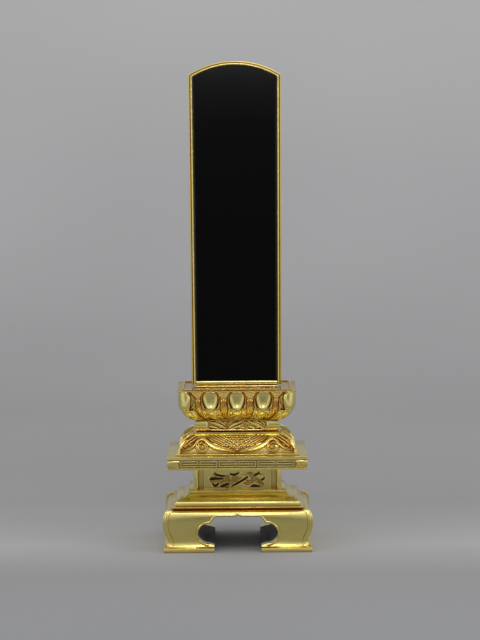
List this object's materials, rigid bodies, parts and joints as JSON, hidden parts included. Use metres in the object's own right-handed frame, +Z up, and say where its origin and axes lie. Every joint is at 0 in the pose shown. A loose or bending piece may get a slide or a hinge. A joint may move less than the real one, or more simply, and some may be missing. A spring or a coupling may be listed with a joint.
{
  "type": "buddhist memorial tablet",
  "caption": "Tall black lacquered board with a gilded arched rim, plugged into a carved lotus seat on a stepped gilded pedestal with cat feet.",
  "frame": {"origin": "centre of the footprint, on the surface that the tablet stands on", "axes": "+Z up, +X to the viewer's right, the front faces -Y"},
  "size_m": [0.1996, 0.1436, 0.6482],
  "materials": {
    "gold_leaf": "satin gold leaf over lacquered wood",
    "black_lacquer": "polished black lacquer",
    "black_paint": "matt black lacquer on wood",
    "bare_wood": "bare softwood"
  },
  "bodies": {
    "pedestal": {"front_apron": "gold_leaf", "rear_apron": "gold_leaf", "left_side_board": "gold_leaf", "right_side_board": "gold_leaf", "left_foot_block": "black_paint", "right_foot_block": "black_paint", "bridge_board": "black_paint", "ledge_board": "gold_leaf", "step_moulding": "gold_leaf", "sill_board": "gold_leaf", "waist_core": "gold_leaf", "front_ground": "black_paint", "rear_ground": "black_paint", "left_ground": "black_paint", "right_ground": "black_paint", "front_panel": "gold_leaf", "rear_panel": "gold_leaf", "left_panel": "gold_leaf", "right_panel": "gold_leaf", "front_left_post": "gold_leaf", "front_right_post": "gold_leaf", "rear_left_post": "gold_leaf", "rear_right_post": "gold_leaf", "table_board": "gold_leaf", "front_fret": "gold_leaf", "rear_fret": "gold_leaf", "left_fret": "gold_leaf", "right_fret": "gold_leaf", "roof_plate": "gold_leaf", "roof_block": "gold_leaf", "neck_block": "gold_leaf", "lotus_bowl": "gold_leaf", "front_petal_1": "gold_leaf", "front_petal_2": "gold_leaf", "front_petal_3": "gold_leaf", "rear_petal_1": "gold_leaf", "rear_petal_2": "gold_leaf", "rear_petal_3": "gold_leaf", "front_left_corner_petal": "gold_leaf", "front_right_corner_petal": "gold_leaf", "rear_left_corner_petal": "gold_leaf", "rear_right_corner_petal": "gold_leaf", "left_petal_1": "gold_leaf", "left_petal_2": "gold_leaf", "right_petal_1": "gold_leaf", "right_petal_2": "gold_leaf", "seat_board": "gold_leaf", "centre_dowel": "bare_wood", "left_dowel": "bare_wood", "right_dowel": "bare_wood"},
    "tablet": {"tablet_board": "black_lacquer", "left_rim": "gold_leaf", "right_rim": "gold_leaf", "arched_rim": "gold_leaf", "foot_rail": "gold_leaf", "foot_fillet": "gold_leaf"}
  },
  "joints": [
    {"name": "tablet_lift", "type": "slide", "parent": "pedestal", "child": "tablet", "axis": [0, 0, 1], "range_m": [0, 0.035]}
  ]
}
